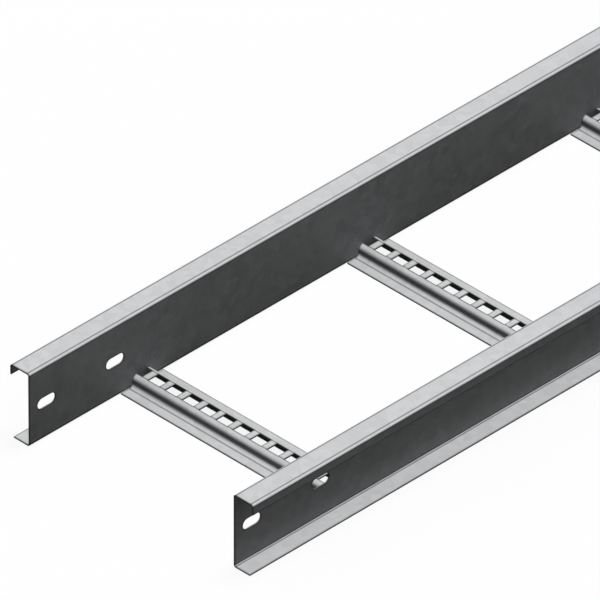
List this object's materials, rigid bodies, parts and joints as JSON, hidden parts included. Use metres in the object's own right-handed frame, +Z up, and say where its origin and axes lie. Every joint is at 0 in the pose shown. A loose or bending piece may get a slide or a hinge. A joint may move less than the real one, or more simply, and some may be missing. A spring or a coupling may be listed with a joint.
{
  "type": "cable ladder section",
  "caption": "Straight cable ladder section: two folded steel side rails joined by slotted hat-section rungs, for carrying cables.",
  "frame": {"origin": "middle of the underside, halfway along the section and between the rails", "axes": "+X across the section, +Y along it, +Z up from the underside to the open top of the cable bed"},
  "size_m": [0.356, 3, 0.092],
  "materials": {
    "galvanised_sheet": "hot-dip galvanised, dull"
  },
  "bodies": {
    "root": {"rail_left": "galvanised_sheet", "rail_right": "galvanised_sheet", "rung_1": "galvanised_sheet", "rung_2": "galvanised_sheet", "rung_3": "galvanised_sheet", "rung_4": "galvanised_sheet", "rung_5": "galvanised_sheet", "rung_6": "galvanised_sheet", "rung_7": "galvanised_sheet", "rung_8": "galvanised_sheet", "rung_9": "galvanised_sheet"}
  },
  "joints": []
}
